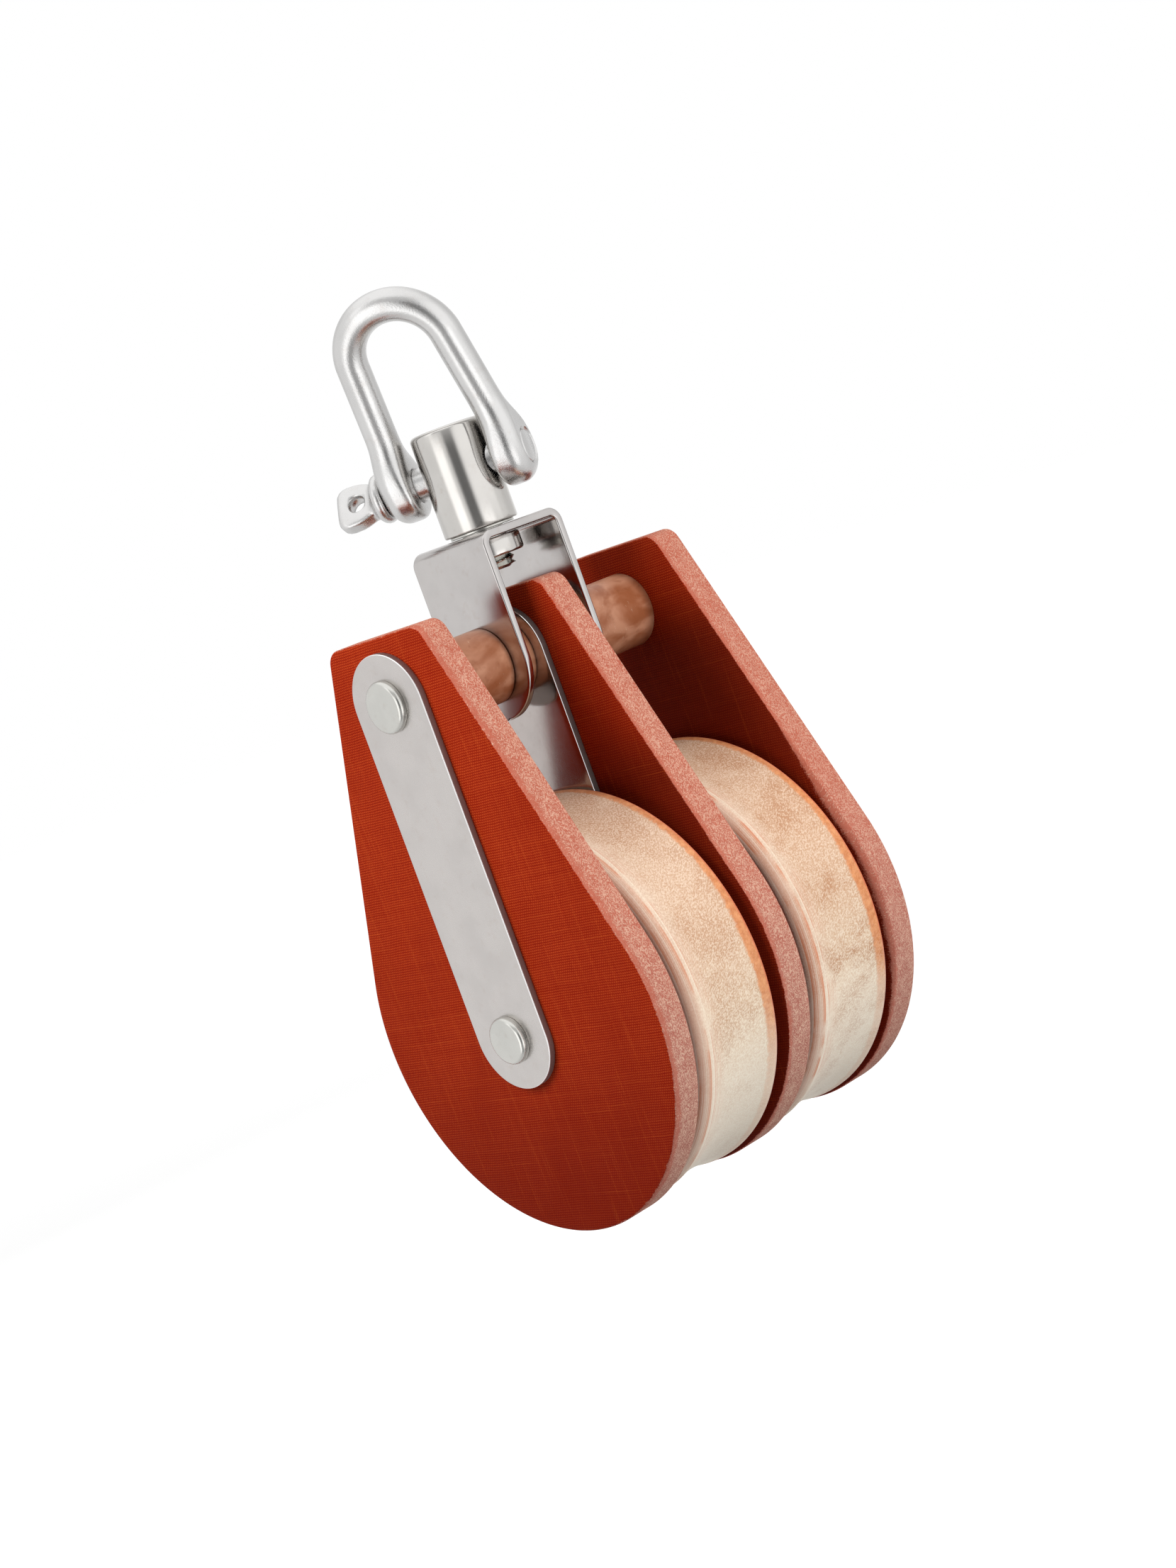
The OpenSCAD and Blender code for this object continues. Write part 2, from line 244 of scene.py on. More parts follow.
behind = math.hypot(back[0], back[1])
before_lens = along((back[0] / behind, back[1] / behind, 0))
beside_lens = along((-back[1] / behind, back[0] / behind, 0))
turn = beside_lens.math("ARCTAN2", before_lens) * (180 / math.pi)
height = along((0, 0, 1))
rise = height.math("ARCSINE") * (180 / math.pi)


def window(left, right, low, high, soft):
    """1 inside a window of the room given in degrees of turn and rise, 0 outside it, with a soft rim."""
    s = soft / 2
    return (turn.step(left - s, left + s) * turn.step(right - s, right + s, 1, 0)
            * rise.step(low - s, low + s) * rise.step(high - s, high + s, 1, 0))


bright = (window(-58, -30, -42, 16, 10) * 0.78 + window(18, 52, -46, -14, 12) * 0.80
          + window(18, 78, -14, 40, 14) * 0.28 + window(-75, -50, 20, 44, 14) * 0.5 + rise.step(36, 56) * 0.30)
dull = window(102, 150, -40, 60, 30) * 0.20 + window(-170, -125, -40, 40, 20) * 0.15
dark_room = window(-18, 12, -22, 20, 12) * 0.80
dark_above = window(-50, 25, 22, 46, 14) * 0.30
dark_below = window(-32, 16, -62, -22, 12) * 0.50
mirrored = (1.0 + bright - dull) * (1 - dark_room) * (1 - dark_above) * (1 - dark_below)
mirrored = mirrored * height.step(-0.95, -0.5, 0.75, 1)
lit = height.step(-0.9, 1.0, 0.05, 0.24)
rays = sky.nodes.new("ShaderNodeLightPath")
seen = Value(rays.outputs["Is Camera Ray"])
glossy = Value(rays.outputs["Is Glossy Ray"]) + Value(rays.outputs["Is Transmission Ray"])
strength = seen * 1.0 + (1 - seen) * (glossy * mirrored + (1 - glossy) * lit)
light = add(sky, "Background", {}, {"Color": (1, 1, 1, 1), "Strength": strength})
sky.links.new(light.socket, sky.nodes.new("ShaderNodeOutputWorld").inputs[0])
print("world with", len(sky.nodes), "nodes")

# %% lamps
MIDDLE = (8.6, 5.2, -90)


def lamp(name, place, size, watts):
    """A square soft white lamp, aimed at the middle of the block; millimetres."""
    data = bpy.data.lights.new(name, "AREA")
    data.size = size * MM
    data.energy = watts
    thing = bpy.data.objects.new(name, data)
    thing.location = [v * MM for v in place]
    way = Vector([float(m - p) for m, p in zip(MIDDLE, place)])
    thing.rotation_euler = way.to_track_quat("-Z", "Y").to_euler()
    thing.visible_glossy = False
    bpy.context.scene.collection.objects.link(thing)
    print(f"{name}: {watts} W, {way.length:.0f} mm away")


lamp("side_light", (-235, 20, 50), 200, 0.64)
lamp("front_light", (80, -455, 60), 130, 2.0)
lamp("top_light", (60, 60, 420), 300, 0.8)
lamp("back_light", (60, 440, 80), 220, 0.9)

# %% floor
FLOOR_Z, FLOOR_HALF = -0.232, 3
floor_mesh = bpy.data.meshes.new("floor")
around = [(-1, -1), (1, -1), (1, 1), (-1, 1)]
floor_mesh.from_pydata([(FLOOR_HALF * x, FLOOR_HALF * y, FLOOR_Z) for x, y in around], [], [(0, 1, 2, 3)])
floor = bpy.data.objects.new("floor", floor_mesh)
bpy.context.scene.collection.objects.link(floor)
pale = bpy.data.materials.new("pale_floor")
pale.use_nodes = True
tree = pale.node_tree
tree.nodes.clear()
rays = tree.nodes.new("ShaderNodeLightPath")
shown = Value(rays.outputs["Is Camera Ray"])
mirror_ray = Value(rays.outputs["Is Glossy Ray"])
through = Value(rays.outputs["Is Transmission Ray"])
spot = add(tree, "TexCoord", {}, {}, out=3)
away = add(tree, "VectorMath", {"operation": "LENGTH"}, {0: spot}, out=1).step(0.25, 1.2)
whiteness = shown * (away * 0.30 + 0.72) + through * 0.5
glow = add(tree, "Emission", {}, {"Color": (1, 1, 1, 1), "Strength": whiteness})
matt = add(tree, "BsdfDiffuse", {}, {"Color": (0.45, 0.45, 0.45, 1)})
both = add(tree, "AddShader", {}, {0: matt, 1: glow})
clear = add(tree, "BsdfTransparent", {}, {})
under = Value(tree.nodes.new("ShaderNodeNewGeometry").outputs["Backfacing"])
top = add(tree, "MixShader", {}, {0: under.math("MAXIMUM", mirror_ray), 1: both, 2: clear})
tree.links.new(top.socket, tree.nodes.new("ShaderNodeOutputMaterial").inputs[0])
floor_mesh.materials.append(pale)
print("floor at", floor_mesh.vertices[0].co.z, "m")

# %% [markdown]
# ## Surfaces from numbers
# Every new piece is a sheet of points: rows along the piece, columns round it. `skin` turns such a sheet
# into a mesh. It closes the round direction, closes both ends or joins the last row to the first, and
# turns the faces outwards by looking at the sign of the volume they enclose.

# %% skin


def sheet_mesh(name, grid, ends="closed", uv=None):
    """A mesh from points (rows, columns, 3) in mm, closed round the columns.

    ends: "closed" fills the first and last row with a fan, "ring" joins the last row to the first.
    uv: (rows, columns + 1, 2) numbers at the grid's corners, the last column being the seam's far side.
    """
    rows, cols = grid.shape[:2]
    count = rows if ends == "ring" else rows - 1
    i = np.arange(count)[:, None]
    j = np.arange(cols)[None, :]
    a = i * cols + j
    b = i * cols + (j + 1) % cols
    c = ((i + 1) % rows) * cols + (j + 1) % cols
    d = ((i + 1) % rows) * cols + j
    quads = np.stack([a, b, c, d], -1).reshape(-1, 4)
    points = grid.reshape(-1, 3)
    fans = np.zeros((0, 3), int)
    if ends == "closed":
        n = len(points)
        ring = np.arange(cols)
        after = (ring + 1) % cols
        last = (rows - 1) * cols
        first_fan = np.stack([after, ring, np.full(cols, n)], -1)
        last_fan = np.stack([last + ring, last + after, np.full(cols, n + 1)], -1)
        fans = np.concatenate([first_fan, last_fan])
        points = np.concatenate([points, grid[:1].mean(1), grid[-1:].mean(1)])
    middle = points - points.mean(0)
    triangles = np.concatenate([quads[:, [0, 1, 2]], quads[:, [0, 2, 3]], fans])
    corners = middle[triangles]
    volume = np.einsum("ij,ij->i", corners[:, 0], np.cross(corners[:, 1], corners[:, 2])).sum() / 6
    if volume < 0:
        quads, fans = quads[:, ::-1], fans[:, ::-1]
    mesh = bpy.data.meshes.new(name)
    mesh.from_pydata((points * MM).tolist(), [], quads.tolist() + fans.tolist())
    if uv is not None:
        quad_uv = np.stack([uv[:count, :-1], uv[:count, 1:], uv[1:count + 1, 1:], uv[1:count + 1, :-1]], 2)
        quad_uv = quad_uv.reshape(-1, 4, 2)
        if volume < 0:
            quad_uv = quad_uv[:, ::-1]
        fan_uv = np.zeros((len(fans) * 3, 2))
        if len(fans):
            fan_uv[:cols * 3] = uv[0, 0]
            fan_uv[cols * 3:] = uv[-1, 0]
        layer = mesh.uv_layers.new(name="surface")
        layer.data.foreach_set("uv", np.concatenate([quad_uv.reshape(-1, 2), fan_uv]).ravel())
    return mesh


def skin(name, grid, finish, body, nodes, ends="closed", uv=None, crease=38):
    """A piece from a sheet of points; edges that turn by more than crease degrees are left sharp."""
    return piece(name, sheet_mesh(name, grid, ends, uv), finish, body, nodes, crease)


def drill(thing, cutter, crease=38):
    """Cuts a closed mesh out of a piece with a Boolean modifier and keeps the result as the piece's mesh."""
    tool = bpy.data.objects.new("tool", cutter)
    bpy.context.scene.collection.objects.link(tool)
    bore = thing.modifiers.new("bore", "BOOLEAN")
    bore.operation, bore.solver, bore.object = "DIFFERENCE", "EXACT", tool
    drilled = bpy.data.meshes.new_from_object(thing.evaluated_get(bpy.context.evaluated_depsgraph_get()))
    thing.modifiers.clear()
    thing.data = drilled
    bpy.data.objects.remove(tool)
    drilled.shade_smooth()
    drilled.set_sharp_from_angle(angle=math.radians(crease))
    print(f"{thing.name} drilled: {len(drilled.polygons)} faces")


def piece(name, mesh, finish, body, nodes, crease=38):
    """Puts a finished mesh in the scene on its body, in place of the CAD nodes it stands for."""
    mesh.materials.append(finish)
    mesh.shade_smooth()
    mesh.set_sharp_from_angle(angle=math.radians(crease))
    thing = bpy.data.objects.new(name, mesh)
    bpy.context.scene.collection.objects.link(thing)
    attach(thing, body)
    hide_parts(*nodes)
    print(f"{name}: {len(mesh.vertices)} points, {len(mesh.polygons)} faces")
    return thing


print("mesh helpers ready")

# %% a turned surface


def turned_grid(profile, origin, steps=160, line=(1, 0, 0), ripple=None):
    """A profile of (radius, distance along) turned about a line through origin.

    A point at angle t is origin + along * line + radius * (cos t * one side + sin t * the other side).
    """
    line = np.array(line, float)
    side = np.cross((0, 1, 0) if abs(line[1]) < 0.5 else (0, 0, 1), line)
    side /= np.linalg.norm(side)
    other = np.cross(line, side)
    profile = np.array(profile, float)
    t = np.linspace(0, 2 * np.pi, steps, endpoint=False)
    radius = profile[:, :1] * np.ones(steps)
    along = profile[:, 1:] * np.ones(steps)
    if ripple is not None:
        radius, along = ripple(radius, along, t)
    around = np.cos(t)[None, :, None] * side + np.sin(t)[None, :, None] * other
    return np.asarray(origin) + along[..., None] * line + radius[..., None] * around


def turned(name, profile, finish, body, nodes, origin, steps=160, line=(1, 0, 0), ends="ring", crease=38,
           ripple=None):
    """A turned piece. ripple changes the radius and the place of each point, given its angle."""
    grid = turned_grid(profile, origin, steps, line, ripple)
    return skin(name, grid, finish, body, nodes, ends=ends, crease=crease)


def rounded(corners, radii, steps=6):
    """A line of (radius, along) points through the corners, each corner cut by an arc of its radius.

    The arc is a quadratic curve from the point one radius before the corner to the point one radius
    after it. Its middle point is pulled in from the corner, for a softer turn.
    """
    pull = 0.18
    corners = np.array(corners, float)
    out = []
    for k, (corner, r) in enumerate(zip(corners, radii)):
        before, after = corners[k - 1], corners[(k + 1) % len(corners)]
        if r == 0:
            out.append(corner)
            continue
        to_before = (before - corner) / np.linalg.norm(before - corner)
        to_after = (after - corner) / np.linalg.norm(after - corner)
        s = np.linspace(0, 1, steps)[:, None]
        pulled = corner + pull * r * (to_before + to_after)
        out.extend((1 - s) ** 2 * (corner + r * to_before) + 2 * s * (1 - s) * pulled
                   + s ** 2 * (corner + r * to_after))
    return np.array(out)


print("turning helpers ready")

# %% [markdown]
# ## Plates
# The cheeks and straps are flat plates whose outline is a belt round two or three circles. Where the belt
# leaves one circle for the next, its outward direction n satisfies n . (c2 - c1) = r1 - r2, which gives
# every tangent point without any trial. The plate's edge is then a short rounded profile carried along
# that belt. Rope and handling can wear one rim further, to a bevel that fades in and out along the belt.

# %% belt and plate
BEVEL_IN, BEVEL_DEEP = 2.2, 0.9
FACE_ROWS = [14, 4, 1.5]
SHRINK_OVER = 20


def belt(circles, step):
    """Points and outward normals along a belt round circles (y, z, radius), anticlockwise."""
    centres = np.array([c[:2] for c in circles], float)
    radii = np.array([c[2] for c in circles], float)
    n = len(circles)
    leave = []
    for k in range(n):
        gap = centres[(k + 1) % n] - centres[k]
        length = np.hypot(*gap)
        leave.append(math.atan2(gap[1], gap[0]) - math.acos((radii[k] - radii[(k + 1) % n]) / length))
    points, normals = [], []
    for k in range(n):
        start, end = leave[k - 1], leave[k]
        sweep = (end - start) % (2 * math.pi)
        count = max(8, int(radii[k] * sweep / step))
        a = start + np.linspace(0, 1, count) * sweep
        normal = np.stack([np.cos(a), np.sin(a)], -1)
        arc = centres[k] + radii[k] * normal
        points.append(arc)
        normals.append(normal)
        far = centres[(k + 1) % n] + radii[(k + 1) % n] * normal[-1]
        count = max(3, int(np.hypot(*(far - arc[-1])) / step))
        s = np.linspace(0, 1, count)[1:-1, None]
        points.append(arc[-1] + s * (far - arc[-1]))
        normals.append(np.repeat(normal[-1:], len(s), 0))
    return np.concatenate(points), np.concatenate(normals)


def plate(name, circles, x0, thick, edge, finish, body, nodes, origin, step=0.7, rows_across=5, worn=None):
    """A flat plate from x0 to x0 + thick with edges rounded by edge; its UV holds millimetres / 100.

    u runs along the outline. v is 0 to thick across the cut edge, below 0 on one face, above on the other.
    worn gives, from 0 to 1 at each y and z of the outline, how far the rim at x0 is worn to a wide bevel.
    """
    outline, normal = belt(circles, step)
    wear = worn(*outline.T) if worn else np.zeros(len(outline))
    a = np.linspace(0, np.pi / 2, 5)
    drop, slide = 1 - np.cos(a), 1 - np.sin(a)
    inset = np.concatenate([FACE_ROWS, edge * slide, np.zeros(rows_across), edge * slide[::-1], FACE_ROWS[::-1]])
    across_edge = np.linspace(edge, thick - edge, rows_across + 2)[1:-1]
    depth = np.concatenate([[0] * 3, edge * drop, across_edge, thick - edge * drop[::-1], [thick] * 3])
    rim = np.concatenate([-inset[:3], depth[3:-3], thick + inset[-3:]])
    middle = np.array([0.0, np.mean(outline[:, 1])])
    small = np.minimum(inset, FACE_ROWS[-1])
    ring = outline[None] - small[:, None, None] * normal[None]
    shrink = 1 - np.clip((inset - FACE_ROWS[-1]) / SHRINK_OVER, 0, 1)
    ring = middle + (ring - middle) * shrink[:, None, None]
    unworn = np.zeros(len(inset) - 3 - len(a))
    bevel_in = BEVEL_IN * np.concatenate([np.ones(3), slide, unworn])
    bevel_deep = BEVEL_DEEP * np.concatenate([np.zeros(3), drop, unworn])
    ring = ring - bevel_in[:, None, None] * wear[None, :, None] * normal[None]
    depth = depth[:, None] + bevel_deep[:, None] * wear[None]
    x = x0 + depth
    grid = np.stack([x + origin[0], ring[..., 0] + origin[1], ring[..., 1] + origin[2]], -1)
    length = np.concatenate([[0], np.cumsum(np.hypot(*np.diff(np.vstack([outline, outline[:1]]), axis=0).T))])
    rim = rim[:, None] + bevel_deep[:, None] * np.append(wear, wear[0])[None]
    uv = np.stack([np.repeat(length[None] / 100, len(inset), 0), rim / 100], -1)
    return skin(name, grid, finish, body, nodes, uv=uv, crease=30)


print("plate helpers ready")

# %% [markdown]
# ## Cloth laminate
# The cheeks are sawn from a board of cotton cloth pressed with a red resin. Measured in the photograph,
# the cloth is a plain weave: threads every 0.46 mm up the cheek and 0.27 mm across it, so that each
# crossing repeats over two threads. The faces keep their resin skin and are deep red, with painted shade
# towards the bottom and in the gaps between the cheeks. The sawn edges show the cut ends of the threads,
# much paler: short strokes that lean one way in one ply of cloth and the other way in the next.

# %% cheek finish
THREAD_UP = 0.461
THREAD_ACROSS = 0.2725


def cheek_finish(name, thick):
    """Woven red faces and pale cut edges, told apart by the plate's own UV."""
    f = Finish(name)
    u, v, _ = f.surface()
    x, y, z = f.parts(f.place)
    to_right = (AXLE[0] + 10, AXLE[0] + 20)
    sway = f.noise(9, 2) * 0.5 + f.noise(1.1, 2) * 0.16
    up = z + sway
    across = y + sway
    ribs = up.wave(THREAD_UP)
    checks = (up.wave(2 * THREAD_UP) - 0.5) * (across.wave(2 * THREAD_ACROSS) - 0.5) * 2 + 0.5
    rows = f.noise(1, 1, on=f.vector(y * 0.05, x, z * 2.2))
    columns = f.noise(1, 1, on=f.vector(y * 1.8, x, z * 0.07))
    fine = f.noise(0.30, 2)
    cloudy = f.noise(14, 3)
    mottle = f.noise(3.5, 2)
    weave = ribs * 0.40 + checks * 0.46 + rows * 0.18 + columns * 0.16 + fine * 0.26 + mottle * 0.10
    face = f.mix(weave.step(0.42, 1.16), srgb(140, 24, 7), srgb(190, 68, 30))
    face = f.mix(cloudy.step(0.35, 0.75) * 0.25, face, srgb(132, 22, 4))
    # painted shade: every face is painted darker towards the bottom, where less light falls from above
    face = f.mix(z.step(AXLE[2] - 42, AXLE[2] + 6, 0.62, 0.0), face, srgb(104, 12, 3))
    # painted shade: all but the outermost faces look into a gap, and are painted darker below a line that lies
    # higher on the right
    between = (x - AXLE[0]).math("ABSOLUTE").step(33.0, 33.3, 1.0, 0.0)
    depth = z - x.step(*to_right, 0.0, 20.0)
    face = f.mix(between * depth.step(AXLE[2] + 34, AXLE[2] + 49, 0.5, 0.0), face, srgb(52, 14, 9))
    slub = columns.step(0.62, 0.74) * checks * 0.12 + rows.step(0.66, 0.78) * ribs * 0.14
    face = f.mix(slub, face, srgb(226, 108, 46))

    def strokes(lean, shift):
        """Cut threads as streaks across the edge, leaning one way for lean 1 and the other way for -1."""
        lengthwise = (u * 0.80 + v * (0.60 * lean)) * 2.4
        crosswise = (v * 0.80 - u * (0.60 * lean)) * 6.6
        return f.noise(1, 1, on=f.vector(lengthwise, crosswise, x * 0.3 + shift))

    rising, falling = strokes(1, 0), strokes(-1, 9)
    ply = (v + f.noise(2.5, 1) * 1.8).wave(1.6).step(0.35, 0.65)
    stroke = rising * (1 - ply) + falling * ply
    clump = f.noise(2.0, 2)
    # the side of the cut edge at v = 0 is plainer, with fewer strokes
    ragged_v = v + (f.noise(2.2, 2) - 0.5) * 1.6
    plain = (ragged_v - x.step(AXLE[0] - 20, AXLE[0] - 10, 0.5, 0.0)).step(0.25, 1.1, 1.0, 0.0)
    cut = (stroke + (clump - 0.5) * 0.16 + (fine - 0.5) * 0.10 - plain * 0.14).step(0.43, 0.62)
    from_face = v.math("MINIMUM", thick - v)
    down = z.step(AXLE[2] - 25, AXLE[2] + 30, 1.0, 0.0)
    grain = fine * 0.6 + clump * 0.4
    salmon = f.mix(grain, srgb(160, 72, 54), srgb(204, 126, 104))
    dusky = f.mix(grain, srgb(152, 84, 72), srgb(198, 140, 126))
    edge = f.mix(down * (1 - plain * 0.5), salmon, dusky)
    cream = down * 0.10 + x.step(*to_right, 0.50, 0.40)
    edge = f.mix(cut * cream, edge, srgb(230, 198, 174))
    # the resin skin chips off unevenly where a face meets the cut edge
    chipped = from_face + (fine - 0.5) * 0.20 + (f.noise(1.6) - 0.5) * 0.16
    on_edge = chipped.step(0.02, 0.12)
    colour = f.mix(on_edge, face, edge)
    relief = f.bump(weave * (1 - on_edge) + cut * on_edge, 0.03)
    rough = (1 - on_edge) * (f.noise(12, 2) * 0.16 + 0.42) + on_edge * 0.66
    return f.done(Base_Color=colour, Roughness=rough, Normal=relief, Specular_IOR_Level=0.03)


CHEEK_THICK = 6.0
cheek_red = cheek_finish("cheek_laminate", CHEEK_THICK)

# %% [markdown]
# ## Cheeks
# Three equal pear-shaped boards. Their corners are only just broken, by 0.35 mm. The right cheek's inner
# rim is worn to a bevel at the front, beside its sheave, where the rope runs in.

# %% make the cheeks
cheek_belt = [(0, 0.4, 38.79), (11.0, 72.8, 3.5), (-11.0, 72.8, 3.5)]


def rope_worn(y, z):
    """1 on the front rim from the axle to 20 mm above it. It fades to 0 at 36 mm above and 30 mm below."""
    return np.clip((z + 30) / 30, 0, 1) * np.clip((36 - z) / 16, 0, 1) * np.clip(-y / 8, 0, 1)


for node, worn in (("left_cheek", None), ("centre_cheek", None), ("right_cheek", rope_worn)):
    plate(node + "_board", cheek_belt, reach(node)[0], CHEEK_THICK, 0.35, cheek_red, "block", [node], AXLE,
          worn=worn)

# %% [markdown]
# ## Steel
# All the metal is stainless steel, but not in one finish. The bow and barrel are polished and a little
# frosted by handling, the straps are satin sheet, and the yoke is bright sheet that mirrors its neighbours.
# One function makes them all, because only the colour, the roughness and the size of the grain differ.

# %% steel finish


def steel(name, tone, rough, spread, grain, depth, stretch=(1, 1, 1), stain=0.0, sheet=0.0):
    """Bare metal: fine grain in the roughness and relief, and faint stains.

    sheet is a sheet's thickness in mm: its sawn rim is rougher and darker, with a painted highlight on one
    corner.
    """
    f = Finish(name)
    fine = f.noise(grain, 3, 0.6, on=f.moved(stretch=stretch))
    wide = f.noise(6, 3)
    marks = f.noise(2.2, 4, 0.65).step(0.52, 0.80)
    shade = 1 - wide.step(0.3, 0.8) * 0.07 - marks * stain
    stained = srgb(tone[0] - 6, tone[1] - 12, tone[2] - 16)
    colour = f.times(f.mix(marks * 0.4, srgb(*tone), stained), shade)
    roughness = fine * spread + wide * spread * 0.7 + (rough - spread * 0.85)
    if sheet:
        v = f.surface()[1]
        sawn = v.step(0.12, 0.22) * v.step(sheet - 0.22, sheet - 0.12, 1, 0)
        # painted highlight: a near-white line along one corner of the sawn rim stands in for a glint
        corner = v.step(0.0, 0.04) * v.step(0.10, 0.20, 1, 0)
        colour = f.mix(corner * 0.9, f.times(colour, 1 - sawn * 0.45), (1, 1, 1, 1))
        scratched = f.noise(0.25, 2, on=f.moved(stretch=(3, 0.6, 0.6)))
        roughness = roughness * (1 - sawn) + sawn * (scratched * 0.3 + 0.42)
    return f.done(Base_Color=colour, Metallic=1.0, Roughness=roughness, Normal=f.bump(fine, depth))


STRAP_THICK = 1.5
strap_steel = steel("satin_sheet", (204, 199, 196), 0.28, 0.06, 0.25, 0.0006, (1, 1, 0.25), 0.02, STRAP_THICK)
inner_steel = steel("rubbed_sheet", (188, 180, 176), 0.15, 0.08, 0.25, 0.0012, (1, 1, 0.25), 0.04, STRAP_THICK)
yoke_steel = steel("bright_sheet", (198, 194, 192), 0.18, 0.06, 0.3, 0.0006, (1, 1, 0.12), stain=0.03)
bow_steel = steel("polished_forging", (212, 211, 210), 0.26, 0.10, 0.30, 0.026, stain=0.04)
barrel_steel = steel("turned_barrel", (206, 203, 199), 0.14, 0.10, 0.22, 0.0015, (1, 1, 0.2), stain=0.04)
pin_steel = steel("turned_head", (206, 205, 200), 0.20, 0.08, 0.25, 0.002, stain=0.04)

# %% [markdown]
# ## Straps
# Four strips of 1.5 mm sheet with round ends share the load between the two pins. Each has its edges
# broken by 0.2 mm, which catches a bright line along their sides, with a painted highlight on one corner.

# %% make the straps
STRAP_R = 9.7
SPACING = HEAD_PIN[2] - AXLE[2]
strap_belt = [(0, 0, STRAP_R), (0, SPACING, STRAP_R)]
straps = {"left_strap": strap_steel, "right_strap": strap_steel,
          "centre_left_strap": inner_steel, "centre_right_strap": inner_steel}
for node, metal in straps.items():
    plate(node + "_sheet", strap_belt, reach(node)[0], STRAP_THICK, 0.2, metal, "block", [node], AXLE,
          step=0.8, rows_across=2)

# %% [markdown]
# ## Pins
# Each pin is a bar with a low round head at both ends. The head's rim is rounded, and a small centre mark
# is left by the lathe. Turning one profile about the pin's line makes the whole piece.

# %% make the pins
POLE = 0.02
PIN_R = 4.0
STRAP_OUT = reach("right_strap")[1]


def cross_pin(name, node, head, tall, origin):
    """A headed pin, turned about x: half a section from one end to the middle, and its mirror image."""
    top = STRAP_OUT + tall
    face = [(0, top - 0.12), (0.35, top), (head * 0.72, top), (head * 0.75, top - 0.04), (head * 0.78, top)]
    rim = rounded([(0, top), (head, top), (head, STRAP_OUT), (PIN_R, STRAP_OUT)], [0, 0.85, 0.15, 0])
    right_side = np.vstack([face, rim[1:]])
    profile = np.vstack([right_side, right_side[::-1] * [1, -1]])
    profile[:, 0] = np.maximum(profile[:, 0], POLE)
    turned(name, profile, pin_steel, "block", [node], origin, steps=96, ends="closed")


cross_pin("head_pin_bar", "head_pin", head=4.95, tall=1.5, origin=HEAD_PIN)
cross_pin("axle_bar", "axle", head=4.55, tall=1.7, origin=AXLE)

# %% [markdown]
# ## Spacers
# The spacers are lengths of waxy brown fibre tube. Under the lamp they look mottled and slightly
# see-through, with pale scuffs. The thrust washers beside the sheaves are cut from the same stuff.

# %% spacer finish


def spacer_finish():
    """Waxy brown tube with cloudy mottling and pale scuffs."""
    f = Finish("fibre_tube")
    cloud = f.noise(5, 3, 0.55, on=f.moved(stretch=(0.6, 1, 1)), distortion=0.6)
    fine = f.noise(0.5, 3, 0.6)
    colour = f.mix(cloud.step(0.32, 0.70), srgb(142, 84, 54), srgb(182, 130, 102))
    colour = f.mix(f.noise(1.6, 3).step(0.58, 0.75) * 0.35, colour, srgb(120, 68, 40))
    scuff = f.noise(0.45, 4, 0.7, on=f.moved(stretch=(1, 0.4, 0.4))).step(0.60, 0.72)
    scuff = scuff * f.noise(4).step(0.5, 0.65)
    colour = f.mix(scuff * 0.6, colour, srgb(224, 200, 178))
    relief = f.bump(cloud * 0.7 + fine * 0.3, 0.05)
    return f.done(Base_Color=colour, Roughness=fine * 0.15 + 0.30, Normal=relief, Specular_IOR_Level=0.45)


tube_brown = spacer_finish()

# %% make the spacers
SPACER_R, WASHER_R, BORE_R = 7.25, 12.0, 4.05


def tube(name, node, origin, outer, edge):
    """A short tube along x, as long as its node, with its outer rims rounded by edge."""
    near, far = reach(node)
    profile = rounded([(BORE_R, near), (outer, near), (outer, far), (BORE_R, far)], [0, edge, edge, 0])
    turned(name, profile, tube_brown, "block", [node], origin, steps=120)


for hand in ("left", "right"):
    for node in (f"{hand}_spacer", f"{hand}_inner_spacer"):
        tube(node + "_tube", node, HEAD_PIN, SPACER_R, 0.12)
    for node in (f"{hand}_outer_washer", f"{hand}_inner_washer"):
        tube(node + "_ring", node, AXLE, WASHER_R, 0.1)

# %% [markdown]
# ## Sheaves
# The sheaves are turned from a paler laminate. The wide groove is hardly a groove: 1.2 mm deep over 17.5 mm.
# Turning cuts across the cloth, so the surface is a fine speckle of thread ends, cream with brown clouds.
# A band of orange resin still shows along each right rim. The left rims are worn round and paler, and show
# the fine rings of the lathe. Painted light makes each sheave paler towards its foot, and painted shade
# makes it more peach and tan towards its top.

# %% sheave finish
SHEAVE_HALF = (reach("left_sheave")[1] - reach("left_sheave")[0]) / 2


